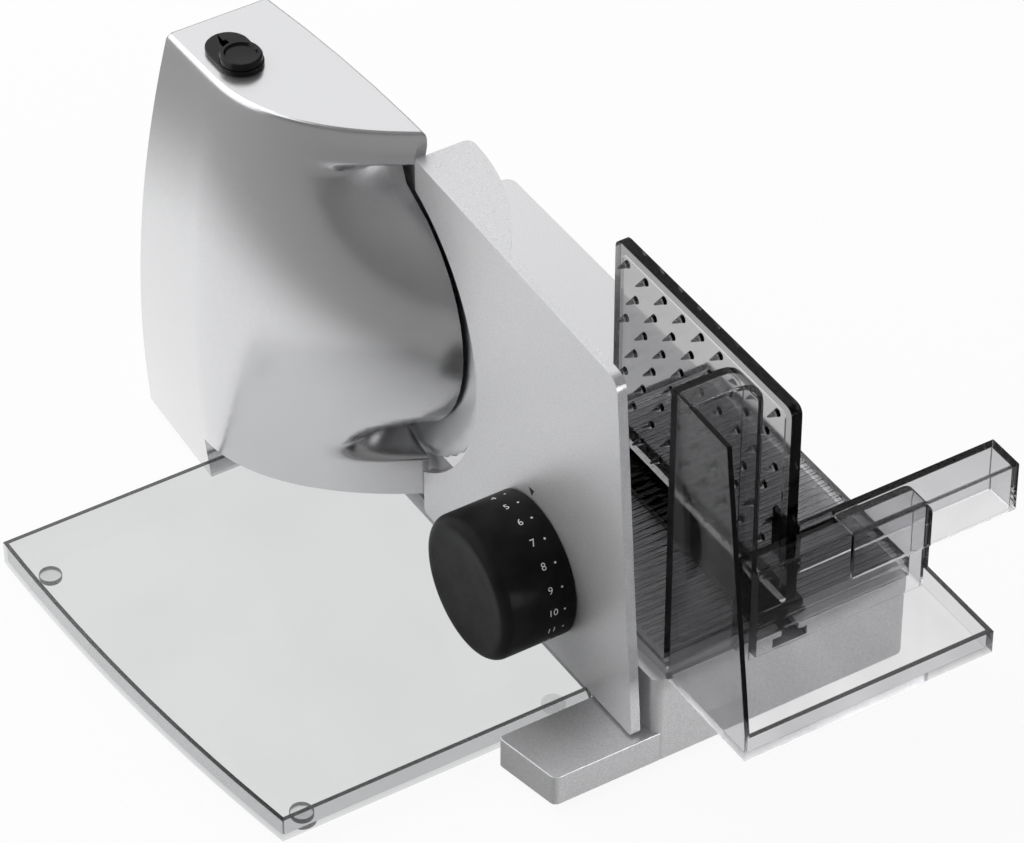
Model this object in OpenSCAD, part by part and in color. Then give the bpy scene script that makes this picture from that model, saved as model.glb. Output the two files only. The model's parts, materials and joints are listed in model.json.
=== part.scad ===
// Electric food slicer: a round blade on a motor tower, a numbered stop plate,
// a sliding food carriage with its pusher, and a slice tray.
// X runs from the tray to the carriage, square to the blade. Y runs from front to back. Z is up.
// Lengths are drawn from the blade: X = 0 is its food side, Y = 0 its axis, Z = 0 the table.

/* [Base] */
// Height of the deck above the table
deck_z = 50; // [46:1:58]
// Right edge of the deck, from the blade
deck_right = 134; // [126:1:150]
// Front of the deck, before the blade axis
deck_front = 220; // [214:1:235]
// Back of the deck, behind the blade axis
deck_back = 111; // [106:1:125]
// Gap from the blade to the deck's left wall
deck_gap = 0.8; // [0.6:0.1:1.2]
// Wall of the base
base_wall = 3; // [2.5:0.25:4]
// Corner radius of the deck, seen from above
deck_corner = 5; // [2:0.5:9]
// Height of the rubber feet
foot_h = 3; // [2:0.5:4]
// Radius of the rubber feet
foot_r = 8; // [6:0.5:10]
// Top of the toe above the table
toe_z = 19; // [16:0.5:20]
// Reach of the toe, left of the blade
toe_reach = 57; // [45:1:70]
// Length of the toe from front to back
toe_len = 35; // [28:1:37]
// Thickness of the base cover
cover_t = 2.5; // [2:0.25:3.5]

/* [Motor housing] */
// Height of the housing's roof
tower_h = 230; // [226:1:240]
// Left wall of the housing at the roof
tower_top_left = 61; // [58:0.5:66]
// Left wall of the housing at its widest
tower_belly = 74.8; // [73:0.2:78]
// Height of the widest place
tower_belly_z = 90; // [70:5:105]
// Back of the housing at the roof
tower_top_back = 83; // [78:1:90]
// Back of the housing at the table
tower_foot_back = 110; // [106:1:118]
// Right rim of the housing, left of the blade
tower_rim = 4; // [3.5:0.1:4.5]
// Wall of the housing
tower_wall = 3; // [2.4:0.2:3.4]
// Reach of the roof lip before the blade axis
roof_lip_y = 38.6; // [35:0.2:39]
// Reach of the sill lip before the blade axis
sill_lip_y = 41.4; // [38:0.2:42.5]
// Height of the roof lip
roof_lip_t = 16; // [11:0.5:18]
// Underside of the housing over the tray
sill_z = 27; // [24:0.5:30]
// Height of the sill lip
sill_lip_t = 19.5; // [17:0.5:22]
// Radius of the dome over the blade hub
dome_r = 71; // [67:0.5:73]
// Reach of the two scoops before the blade axis
scoop_y = 20; // [15:0.5:26]
// Width of the two scoops, from the blade side
scoop_w = 44; // [36:1:52]
// Reach of the roof past the rim
roof_reach = 2; // [1:0.1:2.4]

/* [Blade and drive] */
// Radius of the blade
blade_r = 85; // [83:0.5:86]
// Height of the blade axis
blade_z = 122; // [120:0.5:124]
// Thickness of the blade
blade_t = 2; // [1.5:0.1:2.4]
// Width of the ground bevel
bevel_w = 7; // [4:0.5:10]
// Number of waves along the cutting edge
wave_count = 54; // [36:2:72]
// Depth of the waves
wave_depth = 1; // [0.5:0.1:1.6]
// Radius of the blade hub
hub_r = 26; // [20:1:32]
// Radius of the drive shaft
shaft_r = 5; // [4:0.25:6]
// Teeth of the worm wheel
wheel_teeth = 32; // [28:1:34]
// Module of the worm wheel
gear_module = 1.5; // [1.3:0.05:1.6]
// Width of the worm wheel
wheel_w = 8; // [6:0.5:10]
// Pitch radius of the worm
worm_r = 8; // [7:0.25:9]
// Radius of the motor can
motor_r = 22; // [18:0.5:23]
// Length of the motor can
motor_len = 57; // [45:1:58]
// Radius of the motor shaft
motor_shaft_r = 3; // [2.5:0.25:3.5]

/* [Stop plate and knob] */
// Slice thickness that the plate stands at
setting = 4; // [2:0.5:8]
// Largest slice thickness
setting_max = 16; // [12:1:17]
// Thickness of the stop plate
plate_t = 4.7; // [4:0.1:5.5]
// Gap between the plate's arc and the blade's edge
plate_arc_gap = 4.5; // [3.5:0.25:6]
// Front of the plate at its bottom, before the blade axis
plate_front = 216.6; // [210:0.2:217]
// Top front corner of the plate, before the blade axis
plate_top_front = 200; // [190:0.5:204]
// Height of the plate's top at its front corner
plate_front_z = 209.5; // [205:0.5:212]
// Height of the plate's top at the blade
plate_back_z = 219; // [217:0.5:221]
// Reach of the hood past the blade
hood_reach = 19.5; // [12:0.5:24]
// Length of the hood along the plate
hood_len = 70; // [55:1:85]
// Thickness of the hood
hood_t = 2.6; // [2:0.1:3]
// Radius of the knob
knob_r = 34; // [32:0.25:34.5]
// Depth of the knob
knob_depth = 36; // [34:0.5:40]
// Knob axis before the blade axis
knob_y = 138.5; // [134:0.5:146]
// Knob axis above the deck
knob_rise = 13; // [11:0.5:15]
// Radius of the knob's rounded front edge
knob_round = 5; // [3:0.5:5.5]
// Turn of the knob for each millimetre of slice
knob_turn = 19; // [14:0.5:19.5]
// Radius of the guide rods
rod_r = 4; // [3:0.25:5]

/* [Carriage] */
// Gap from the blade to the carriage
carriage_gap = 6.5; // [5.5:0.25:9]
// Right end of the carriage, from the blade
carriage_right = 135; // [128:0.5:145]
// Back edge of the food floor, before the blade axis
floor_back = 60; // [50:1:75]
// Back face of the carriage's wall, before the blade axis
wall_back = 217.3; // [212:0.1:220]
// Width of the rail on the wall
rail_w = 14; // [12:0.25:16]
// Height of the rail above the deck
rail_h = 51; // [45:0.5:58]
// Height of the thumb guard above the deck
guard_h = 162; // [140:1:162]
// Width of the thumb guard
guard_w = 37; // [30:0.5:42]
// Front of the shelf, before the blade axis
shelf_front = 280; // [268:0.5:290]
// Height of the shelf's rim
shelf_rim = 12.5; // [9:0.5:16]
// Wall of the carriage
carriage_wall = 2.5; // [2:0.1:3]
// Spacing of the ribs on the food floor
rib_pitch = 4.5; // [3.5:0.25:7]

/* [Pusher] */
// Left face of the spiked plate, from the blade
pusher_x = 68.5; // [62:0.5:76]
// Thickness of the spiked plate
pusher_t = 5.5; // [4.5:0.25:7]
// Back edge of the spiked plate, before the blade axis
pusher_back = 80; // [70:1:95]
// Top of the spiked plate above the deck
pusher_h = 121; // [100:1:130]
// Wall of the handle
handle_wall = 2.4; // [2:0.1:3]
// Left end of the handle, from the blade
handle_left = 92; // [90:0.5:98]
// Right end of the handle, from the blade
handle_right = 179; // [165:1:190]
// Height of the handle
handle_h = 26.5; // [20:0.5:32]
// Spacing of the spikes
spike_pitch = 14.6; // [11:0.2:20]
// Length of the spikes
spike_len = 6; // [4:0.5:8]

/* [Tray] */
// Left reach of the tray
tray_left = 178; // [165:1:190]
// Front of the tray, before the blade axis
tray_front = 177; // [165:1:181]
// Back of the tray, behind the blade axis
tray_back = 43; // [35:0.5:43]
// Height of the tray's rim
tray_h = 12.5; // [9:0.5:13]
// Wall of the tray
tray_wall = 2; // [1.6:0.1:2.6]
// Radius of the tray's curved left edge
tray_arc_r = 1150; // [700:50:1600]
// Radius of the tray's feet
tray_foot_r = 5.3; // [4:0.1:7]

/* [Switch] */
// Width of the switch plate
switch_w = 20.5; // [18:0.5:24]
// Length of the switch plate
switch_len = 32; // [30:0.5:36]
// Middle of the switch plate, left of the blade
switch_x = 45; // [43:0.5:47]
// Middle of the switch plate, behind the blade axis
switch_y = 52; // [48:0.5:54]
// Radius of the sliding button
button_r = 9.6; // [8:0.2:10]
// Thickness of the switch plate
switch_t = 2.4; // [1.8:0.2:3]

/* [Hidden] */
$fn = 72;
// Clearances: between parts that slide past each other, a running shaft, and a seated joint
slide_gap = 0.3;
run_gap = 0.05;
seat_gap = 0.02;
// Amount that a cut runs past the face it opens
over = 1;

// Bottom of the parts that stand on the feet
floor_z = foot_h;
// Collar of the cord bush, behind the deck
cord_collar = 2.5;
cord_r = 7;
cord_x = deck_right - 40;
cord_z = floor_z + 22;
// Right wall of the tray, against the deck
tray_right = deck_gap - slide_gap;
// Frame of the whole slicer: middle of its box, on the table
frame_x = (handle_right - tray_left) / 2;
frame_y = (deck_back + cord_collar - shelf_front) / 2;

// Carriage heights
carriage_z = deck_z + slide_gap;
floor_top = carriage_z + 6.7;
rib_h = 0.9;
rail_top = deck_z + rail_h;
rail_front = wall_back + rail_w;
guard_right = carriage_gap + guard_w;

// Back face of the pusher's handle, beside the rail
rail_gap = slide_gap + 0.1;
handle_back = -wall_back + rail_gap + handle_wall;

// T slot of the deck, and the shoe in it
slot_x = 70;
slot_neck = 9;
slot_head = 18;
slot_deep = 5;

// Stop plate places
plate_face = -setting;
plate_left = plate_face - plate_t;
plate_z = toe_z + 1.6;
arc_r = blade_r + plate_arc_gap;
plate_notch_top = roof_lip_y + 0.8;
plate_notch_low = sill_lip_y + 3;
plate_corner = 7;
plate_slope = atan((plate_back_z - plate_front_z) / (plate_top_front - plate_notch_top));
knob_z = deck_z + knob_rise;
knob_back = plate_left - slide_gap;
knob_front = knob_back - knob_depth;
knob_skirt = knob_r - 6;
groove_r = knob_r - 2.6;
follower_x = knob_front + 14;
follower_r = 2.2;
follower_low = knob_skirt - 9;
follower_top = knob_skirt - 2.5;
groove_w = 2 * follower_r + 0.8;
rod_z = deck_z - 17;
rod_len = 66;
rod_seat = 3.4;
rod_ys = [-88, -deck_front + 24];
bush_t = 2;

// Drive places
hub_left = -blade_t - 6;
wheel_r = wheel_teeth * gear_module / 2;
wheel_out = wheel_r + 0.95 * gear_module;
wheel_root = wheel_r - 1.2 * gear_module;
worm_y = wheel_r + worm_r;
worm_pitch = PI * gear_module;
worm_lead = atan(worm_pitch / (2 * PI * worm_r));
tooth_pitch_w = 0.37 * worm_pitch;
side_right = -10.5;
flange_right = -13.6;
flange_left = flange_right - 3;
wheel_x = flange_left - slide_gap - motor_r;
motor_top = blade_z - wheel_out - 1;
motor_low = motor_top - motor_len;
dome_z = blade_z + 5;
drum_half = 100;
window_r = 57;
window_lap = 6.5;
motor_wall = 2;
bridge_x = wheel_x - wheel_w / 2 - 4.5;
bridge_t = 3.5;
leg_z = wheel_out + 6.6;
bush_out = shaft_r + 3;

// Pedestal under the motor housing
step_y = tray_back + 2;
pedestal = [[-60, step_y + 7], [deck_gap + base_wall, tower_top_back + 19]];
web_z = sill_z - 1;
web_top = sill_z + tower_wall;
pedestal_screws = [for (x = [-36, -20], y = [step_y + 15, tower_top_back + 11]) [x, y]];

// Screw sizes
screw_r = 1.75;
head_r = 3.3;
head_t = 1.4;

small_r = 1.4;
small_head = 2.5;
flange_mid = window_r + window_lap / 2;

// Switch travel
button_travel = switch_len - switch_w;

function mix(a, b, t) = a + (b - a) * t;
function ease(a, b, x) = let (t = min(1, max(0, (x - a) / (b - a)))) t * t * (3 - 2 * t);
function unit(v) = v / norm(v);
function bezier(p, t) =
    pow(1 - t, 3) * p[0] + 3 * t * pow(1 - t, 2) * p[1] + 3 * t * t * (1 - t) * p[2] + pow(t, 3) * p[3];

// Outline with rounded corners; cut is one length for all corners, or one for each
function soft_corners(pts, cut, n = 6) = [
    for (i = [0 : len(pts) - 1])
        let (
            p = pts[i],
            c = is_list(cut) ? cut[i] : cut,
            a = p + c * unit(pts[(i + len(pts) - 1) % len(pts)] - p),
            b = p + c * unit(pts[(i + 1) % len(pts)] - p)
        )
        for (k = [0 : c > 0 ? n : 0]) let (t = k / n) pow(1 - t, 2) * a + 2 * t * (1 - t) * p + t * t * b
];

// Box between two corners
module box(a, b) {
    translate(a) cube(b - a);
}

// Round bar along X, Y or Z
module bar_x(r, x0, x1, y, z) {
    translate([x0, y, z]) rotate([0, 90, 0]) cylinder(r = r, h = x1 - x0);
}

module bar_y(r, y0, y1, x, z) {
    translate([x, y0, z]) rotate([-90, 0, 0]) cylinder(r = r, h = y1 - y0);
}

module bar_z(r, z0, z1, x, y) {
    translate([x, y, z0]) cylinder(r = r, h = z1 - z0);
}

// Outline in Y and Z, drawn out along X
module along_x(x0, x1) {
    translate([x0, 0, 0]) rotate([90, 0, 90]) linear_extrude(x1 - x0) children();
}

// Outline in X and Z, drawn out along Y
module along_y(y0, y1) {
    translate([0, y1, 0]) rotate([90, 0, 0]) linear_extrude(y1 - y0) children();
}

// Profile of radius and X, turned about the X axis at a place in Y and Z
module turned_x(y, z) {
    translate([0, y, z]) rotate([0, 90, 0]) rotate_extrude() children();
}

// Flat rectangle with round corners
module round_rect(a, b, r) {
    translate([a[0] + r, a[1]]) square([b[0] - a[0] - 2 * r, b[1] - a[1]]);
    translate([a[0], a[1] + r]) square([b[0] - a[0], b[1] - a[1] - 2 * r]);
    for (x = [a[0] + r, b[0] - r], y = [a[1] + r, b[1] - r]) translate([x, y]) circle(r);
}

// Places of the base cover's screws
cover_posts = [
    for (x = [deck_gap + base_wall + 9, deck_right - base_wall - 9],
         y = [-deck_front + base_wall + 9, deck_back - base_wall - 9]) [x, y]
];

// Places of the rubber feet: four under the deck's corners, one under the toe, one under the pedestal
feet = [
    for (x = [deck_gap + 26, deck_right - 14], y = [-deck_front + 26, deck_back - 26]) [x, y],
    [-toe_reach + 8 + foot_r, -deck_front + toe_len / 2],
    [pedestal[0][0] + 1 + foot_r, pedestal[1][1] - 1 - foot_r]
];

module toe_outline() {
    polygon(soft_corners([
        [deck_gap + base_wall, -deck_front],
        [deck_gap + base_wall, -deck_front + toe_len],
        [-toe_reach, -deck_front + toe_len],
        [-toe_reach + 7, -deck_front]
    ], [0, 0, 3, 3]));
}

// Deck, toe and pedestal in one moulding, open below
module base_housing() {
    slot_floor = deck_z - base_wall - slot_deep - base_wall;
    color("silver") difference() {
        union() {
            difference() {
                translate([0, 0, floor_z]) linear_extrude(deck_z - floor_z)
                    round_rect([deck_gap, -deck_front], [deck_right, deck_back], deck_corner);
                box([deck_gap + base_wall, -deck_front + base_wall, floor_z - over],
                    [deck_right - base_wall, deck_back - base_wall, deck_z - base_wall]);
            }
            difference() {
                translate([0, 0, floor_z]) linear_extrude(toe_z - floor_z) toe_outline();
                difference() {
                    box([-toe_reach + 7 + base_wall, -deck_front + base_wall, floor_z - over],
                        [deck_gap - over, -deck_front + toe_len - base_wall, toe_z - base_wall]);
                    bar_z(foot_r, floor_z - 2 * over, toe_z, feet[4][0], feet[4][1]);
                }
            }
            difference() {
                box([pedestal[0][0], pedestal[0][1], floor_z], [deck_gap + over, pedestal[1][1], web_z]);
                difference() {
                    box([pedestal[0][0] + base_wall, pedestal[0][1] + base_wall, floor_z - over],
                        [deck_gap - over, pedestal[1][1] - base_wall, web_z - base_wall]);
                    bar_z(foot_r, floor_z - 2 * over, web_z, feet[5][0], feet[5][1]);
                }
            }
            box([slot_x - slot_head / 2 - base_wall, -deck_front, slot_floor],
                [slot_x + slot_head / 2 + base_wall, deck_back - base_wall, deck_z - base_wall]);
            for (p = cover_posts) bar_z(5, floor_z + cover_t, deck_z - base_wall, p[0], p[1]);
            for (y = rod_ys) bar_x(rod_r + bush_t + 3, deck_gap, deck_gap + 17, y, rod_z);
        }
        box([slot_x - slot_neck / 2, -deck_front - over, deck_z - base_wall - over],
            [slot_x + slot_neck / 2, deck_back - 2 * base_wall, deck_z + over]);
        box([slot_x - slot_head / 2, -deck_front - over, deck_z - base_wall - slot_deep],
            [slot_x + slot_head / 2, deck_back - 2 * base_wall, deck_z - base_wall]);
        for (p = cover_posts) bar_z(screw_r + seat_gap, floor_z, floor_z + 18, p[0], p[1]);
        for (p = pedestal_screws) bar_z(screw_r + 0.3, web_z - base_wall - over, web_z + over, p[0], p[1]);
        for (y = rod_ys) bar_x(rod_r + bush_t + seat_gap, deck_gap - over, deck_gap + 18, y, rod_z);
        box([deck_gap - over, -knob_y - 5, knob_z - follower_top - 1],
            [deck_gap + base_wall + over, -knob_y + 5, knob_z - follower_low + 1]);
        bar_y(cord_r + seat_gap, deck_back - base_wall - over, deck_back + over, cord_x, cord_z);
    }
}

// Flat cover that closes the deck from below
module base_cover() {
    inset = base_wall + slide_gap;
    color("dimgray") difference() {
        box([deck_gap + inset, -deck_front + inset, floor_z],
            [deck_right - inset, deck_back - inset, floor_z + cover_t]);
        for (p = cover_posts) {
            bar_z(screw_r + 0.3, floor_z - over, floor_z + cover_t + over, p[0], p[1]);
            bar_z(head_r + 0.3, floor_z - over, floor_z + head_t, p[0], p[1]);
        }
    }
}

module rubber_feet() {
    color("black") for (p = feet) translate([p[0], p[1], 0]) rotate_extrude()
        polygon([[0, 0], [foot_r - 1, 0], [foot_r, 1], [foot_r, foot_h], [0, foot_h]]);
}

// Pan-head screw standing on its head
module screw(place, z, len) {
    bar_z(head_r, z, z + head_t, place[0], place[1]);
    bar_z(screw_r, z + head_t, z + len, place[0], place[1]);
}

module cover_screws() {
    color("gray") for (p = cover_posts) screw(p, floor_z, 16);
}

module tower_screws() {
    color("gray") for (p = pedestal_screws) screw(p, web_z - base_wall - head_t, 9);
}

// Rubber bush where the mains lead enters the base
module cord_bush() {
    color("black") translate([cord_x, deck_back, cord_z]) rotate([-90, 0, 0]) rotate_extrude()
        polygon([[3.6, -base_wall - 3], [cord_r + 2, -base_wall - 3], [cord_r + 2, -base_wall],
                 [cord_r, -base_wall], [cord_r, 0], [cord_r + 2, 0], [cord_r, cord_collar], [3.6, cord_collar]]);
}

// Motor housing sections: the plan at a height, drawn in by a wall
function left_x(z) =
    -tower_belly + (tower_belly - tower_top_left) * pow((z - tower_belly_z) / (tower_h - tower_belly_z), 2);
function back_y(z) = mix(tower_foot_back, tower_top_back, z / tower_h);
function corner_x(z) = left_x(z) + mix(3.5, -1, z / tower_h);
function right_x(y, z) =
    -tower_rim + roof_reach * ease(tower_h - 14, tower_h - 9, z) - 0.0006 * pow(max(0, y + roof_lip_y), 2);
function lip(z) = max(
    ease(tower_h - roof_lip_t - 8, tower_h - roof_lip_t, z),
    1 - ease(sill_z + sill_lip_t, sill_z + sill_lip_t + 10, z)
);
function lip_y(z) = mix(sill_lip_y, roof_lip_y, z / tower_h);
function dome_y(z) = max(scoop_y, sqrt(max(0, dome_r * dome_r - pow(z - dome_z, 2))));
// Front of the plain drum at its blade side, and the same edge with the two scoops in it
function drum_y(z) = -mix(lip_y(z), dome_r, pow(max(0, 1 - pow((z - dome_z) / drum_half, 2)), 2));
function edge_y(z) = -mix(dome_y(z), lip_y(z), lip(z));
function pinch(z, w) = max(0, max(edge_y(z - w), edge_y(z), edge_y(z + w)) - drum_y(z));
function front_curve(z, w) = let (
    x0 = right_x(-roof_lip_y, z) - w,
    x3 = left_x(z) + w,
    y0 = drum_y(z) + 1.8 * w
) [
    [x0, y0],
    [mix(x0, x3, 0.55), y0 + 19],
    [x3, step_y - 36 + 0.4 * w],
    [x3, step_y]
];
function section(z, w, n) = let (
    curve = front_curve(z, w),
    x0 = curve[0][0],
    y1 = curve[0][1] + pinch(z, w) + 12
) concat(
    [for (k = [0 : n]) let (p = bezier(curve, pow(k / n, 1.2)))
        [p[0], p[1] + pinch(z, w) * (1 - ease(0, scoop_w, x0 - p[0]))]],
    [for (t = [0 : 2]) let (c = back_cut[t])
        [corner_x(z) + w + c[0], back_y(z) - w - c[1]]],
    [for (k = [0 : 4]) let (y = mix(back_y(z) - w, y1, k / 4)) [right_x(y, z) - w, y]]
);

// Solid through a stack of sections; each level is a height and an inward step
module loft(levels, n) {
    rings = [for (l = levels) [for (p = section(l[0], l[1], n)) [p[0], p[1], l[2]]]];
    m = len(rings[0]);
    last = len(levels) - 1;
    polyhedron(
        points = [for (r = rings) each r],
        faces = concat(
            [[for (i = [m - 1 : -1 : 0]) i]],
            [[for (i = [0 : m - 1]) last * m + i]],
            [for (j = [0 : last - 1], i = [0 : m - 1])
                let (a = j * m + i, b = j * m + (i + 1) % m)
                each [[a, b + m, a + m], [a, b, b + m]]]
        )
    );
}

// Heights of the sections: evenly over the plain walls, closer where the lips and scoops turn
lip_low = sill_z + sill_lip_t;
lip_high = tower_h - roof_lip_t;
levels_z = concat(
    [foot_h, sill_z, lip_low - 8],
    [for (k = [0 : 7]) lip_low + 1.5 * k],
    [for (k = [1 : 14]) mix(lip_low + 10.5, lip_high - 10.5, k / 15)],
    [for (k = [0 : 7]) lip_high - 10.5 + 1.5 * k],
    [lip_high + 5, lip_high + 9, tower_h - 3]
);
roof_round = [[0.3, -1.2], [0.8, -0.4], [1.8, 0]];
back_cut = [[0, 1.6], [0.5, 0.5], [1.6, 0]];

module tower_solid() {
    loft(concat(
        [for (z = levels_z) [z, 0, z]],
        [for (r = roof_round) [tower_h, r[0], tower_h + r[1]]]
    ), 24);
}

module tower_hollow() {
    hollow_z = concat([foot_h - over], [for (i = [1 : 2 : len(levels_z) - 1]) levels_z[i]]);
    loft(concat(
        [for (z = hollow_z) [z, tower_wall, z]],
        [[tower_h - tower_wall, tower_wall, tower_h - tower_wall]]
    ), 9);
}

// Window in the housing's blade side, for the drive and the motor
module window(lap) {
    translate([0, dome_z]) circle(window_r + lap);
    round_rect([worm_y - motor_r - 4 - lap, motor_low - 2 - lap],
               [window_r + lap, dome_z], 4);
}

module motor_housing() {
    color("silver") difference() {
        tower_solid();
        box([-tower_belly - 20, -2 * dome_r, -over], [over, step_y, sill_z]);
        difference() {
            tower_hollow();
            box([-tower_belly - 20, -2 * dome_r, -over], [over, step_y + tower_wall, web_top]);
            box([-tower_belly - 20, 0, web_z], [over, tower_foot_back + 20, web_top]);
            box([flange_left, -2 * dome_r, -over], [over, window_r + window_lap + 4, tower_h]);
        }
        along_x(flange_left - over, over) window(0);
        along_x(flange_right, over) window(window_lap);
        for (p = flange_screws) bar_x(small_r + seat_gap, flange_left - over, over, p[0], p[1]);
        box([-30, pedestal[0][1] - slide_gap, -over], [over, pedestal[1][1] + slide_gap, web_z]);
        for (p = pedestal_screws) bar_z(screw_r + seat_gap, web_z - over, web_top + over, p[0], p[1]);
        translate([0, 0, tower_h - tower_wall - over]) linear_extrude(tower_wall + 2 * over)
            round_rect([-switch_x - 2.4, switch_y - button_travel / 2 - 4.4],
                       [-switch_x + 2.4, switch_y + button_travel / 2 + 4.4], 1);
    }
}

// Places of the screws through the side cover's flange, in Y and Z
flange_screws = [
    for (a = [70, 140, 220]) [flange_mid * cos(a), dome_z + flange_mid * sin(a)],
    [flange_mid, motor_low + 20]
];

// Cover in the window: carries the shaft, the worm and the motor
module side_cover() {
    rib_t = 4;
    arm_z = blade_z + 20;
    color("gray") difference() {
        union() {
            along_x(flange_left, flange_right) window(-slide_gap);
            along_x(flange_right, side_right) window(window_lap - slide_gap);
            bar_x(bush_out + 3, flange_left - 9, flange_left, 0, blade_z);
            for (z = [motor_low + 8, motor_top - 12])
                box([wheel_x, worm_y - motor_r - 3, z], [flange_left, worm_y + motor_r + 3, z + rib_t]);
            box([wheel_x - 6, worm_y - 6, arm_z], [flange_left, worm_y + 6, arm_z + 7]);
        }
        bar_x(bush_out + seat_gap, flange_left - 10, side_right + over, 0, blade_z);
        bar_z(motor_r + seat_gap, motor_low, motor_top, wheel_x, worm_y);
        bar_z(motor_shaft_r + 2.5 + seat_gap, arm_z - over, arm_z + 8, wheel_x, worm_y);
        for (z = [-leg_z, leg_z]) bar_x(screw_r + 0.3, flange_left - over, side_right + over, 0, blade_z + z);
        for (p = flange_screws) bar_x(small_r + 0.3, flange_left - over, side_right + over, p[0], p[1]);
    }
}

// Screws through the side cover into the legs of the gear bridge and into the housing
module side_screws() {
    color("gray") {
        for (z = [-leg_z, leg_z]) {
            bar_x(head_r, side_right, side_right + head_t, 0, blade_z + z);
            bar_x(screw_r, flange_left - 9, side_right, 0, blade_z + z);
        }
        for (p = flange_screws) {
            bar_x(small_head, side_right, side_right + head_t, p[0], p[1]);
            bar_x(small_r, flange_left, side_right, p[0], p[1]);
        }
    }
}

// Bridge that holds the inner end of the drive shaft
module gear_bridge() {
    color("darkgray") difference() {
        union() {
            along_x(bridge_x - bridge_t, bridge_x)
                round_rect([-6.5, blade_z - leg_z - 7], [6.5, blade_z + leg_z + 7], 6);
            for (z = [-leg_z, leg_z]) bar_x(4.5, bridge_x, flange_left, 0, blade_z + z);
            bar_x(bush_out + 2, bridge_x - bridge_t, bridge_x + 1.5, 0, blade_z);
        }
        bar_x(bush_out + seat_gap, bridge_x - bridge_t - over, bridge_x + 1.5 + over, 0, blade_z);
        for (z = [-leg_z, leg_z])
            bar_x(screw_r + seat_gap, flange_left - 10, flange_left + over, 0, blade_z + z);
    }
}

module bush(x0, x1) {
    difference() {
        bar_x(bush_out, x0, x1, 0, blade_z);
        bar_x(shaft_r + run_gap, x0 - over, x1 + over, 0, blade_z);
    }
}

module shaft_bushes() {
    color("goldenrod") {
        bush(flange_left - 9, side_right);
        bush(bridge_x - bridge_t, bridge_x + 1.5);
    }
}

module worm_bush() {
    color("goldenrod") difference() {
        bar_z(motor_shaft_r + 2.5, blade_z + 20, blade_z + 27, wheel_x, worm_y);
        bar_z(motor_shaft_r + run_gap, blade_z + 19, blade_z + 28, wheel_x, worm_y);
    }
}

module motor_can() {
    color("lightgray") difference() {
        bar_z(motor_r, motor_low, motor_top, wheel_x, worm_y);
        bar_z(motor_r - motor_wall, motor_low - over, motor_top + over, wheel_x, worm_y);
    }
}

// Two magnet shells inside the can
module motor_magnets() {
    color("dimgray") intersection() {
        difference() {
            bar_z(motor_r - motor_wall - seat_gap, motor_low + 8, motor_top - 8, wheel_x, worm_y);
            bar_z(motor_r - motor_wall - 4, motor_low, motor_top, wheel_x, worm_y);
        }
        union() for (s = [-1, 1]) translate([wheel_x + s * motor_r, worm_y, 0])
            box([-motor_r + 6, -motor_r, 0], [motor_r - 6, motor_r, tower_h]);
    }
}

// End caps of the motor, each with the bearing of its shaft
module motor_caps() {
    color("black") for (z = [motor_low, motor_top - 5]) difference() {
        bar_z(motor_r - motor_wall - seat_gap, z, z + 5, wheel_x, worm_y);
        bar_z(motor_shaft_r + run_gap, z - over, z + 6, wheel_x, worm_y);
    }
}

// Strap that holds the can in the side cover's ribs
module motor_clamp() {
    z = motor_low + 8;
    strap = 1.2;
    color("silver") difference() {
        union() {
            bar_z(motor_r + strap, z - 4, z + 8, wheel_x, worm_y);
            for (s = [-1, 1]) translate([wheel_x - strap, worm_y + s * (motor_r + 2), z - 4])
                translate([0, -3, 0]) cube([strap, 6, 12]);
        }
        bar_z(motor_r + seat_gap, z - 5, z + 9, wheel_x, worm_y);
        box([wheel_x, worm_y - 2 * motor_r, z - 5], [over, worm_y + 2 * motor_r, z + 9]);
    }
}

module motor_shaft() {
    color("lightgray") bar_z(motor_shaft_r, motor_low - 2, blade_z + 28, wheel_x, worm_y);
}

module armature() {
    slots = 9;
    core_r = motor_r - motor_wall - 4.6;
    color("peru") difference() {
        bar_z(core_r, motor_low + 9, motor_top - 9, wheel_x, worm_y);
        bar_z(motor_shaft_r + seat_gap, motor_low, motor_top, wheel_x, worm_y);
        for (i = [0 : slots - 1]) translate([wheel_x, worm_y, motor_low]) rotate(i * 360 / slots)
            translate([core_r - 4, -0.8, 0]) cube([6, 1.6, motor_len]);
    }
}

// Ridge through a row of four-cornered rings
module coil(rings) {
    last = 4 * (len(rings) - 1);
    polyhedron(
        points = [for (r = rings) each r],
        faces = concat(
            [[3, 2, 1, 0]],
            [[for (k = [0 : 3]) last + k]],
            [for (i = [0 : 4 : last - 1], k = [0 : 3])
                let (a = i + k, b = i + (k + 1) % 4)
                each [[a, b, b + 4], [a, b + 4, a + 4]]]
        )
    );
}

// Thread of the worm: a tapered ridge that climbs one pitch a turn
module worm_thread(turns, steps) {
    root = worm_r - 1.25 * gear_module;
    tip = worm_r + 0.9 * gear_module;
    half_tip = tooth_pitch_w / 2 - 0.36 * 0.9 * gear_module;
    half_root = tooth_pitch_w / 2 + 0.36 * 1.25 * gear_module;
    count = turns * steps;
    rings = [for (i = [0 : count])
        let (
            a = 360 * i / steps - 90 - 180 * turns,
            z = worm_pitch * (i / steps - turns / 2 + 0.5),
            c = [cos(a), sin(a)]
        )
        [for (p = [[root, -half_root], [tip, -half_tip], [tip, half_tip], [root, half_root]])
            [p[0] * c[0], p[0] * c[1], z + p[1]]]
    ];
    coil(rings);
}

module worm() {
    turns = 5;
    half = worm_pitch * (turns / 2 + 1);
    color("lightgray") difference() {
        translate([wheel_x, worm_y, blade_z]) {
            cylinder(r = worm_r - 1.25 * gear_module + 0.3, h = 2 * half, center = true);
            worm_thread(turns, 16);
        }
        bar_z(motor_shaft_r + seat_gap, blade_z - 2 * half, blade_z + 2 * half, wheel_x, worm_y);
    }
}

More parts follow.
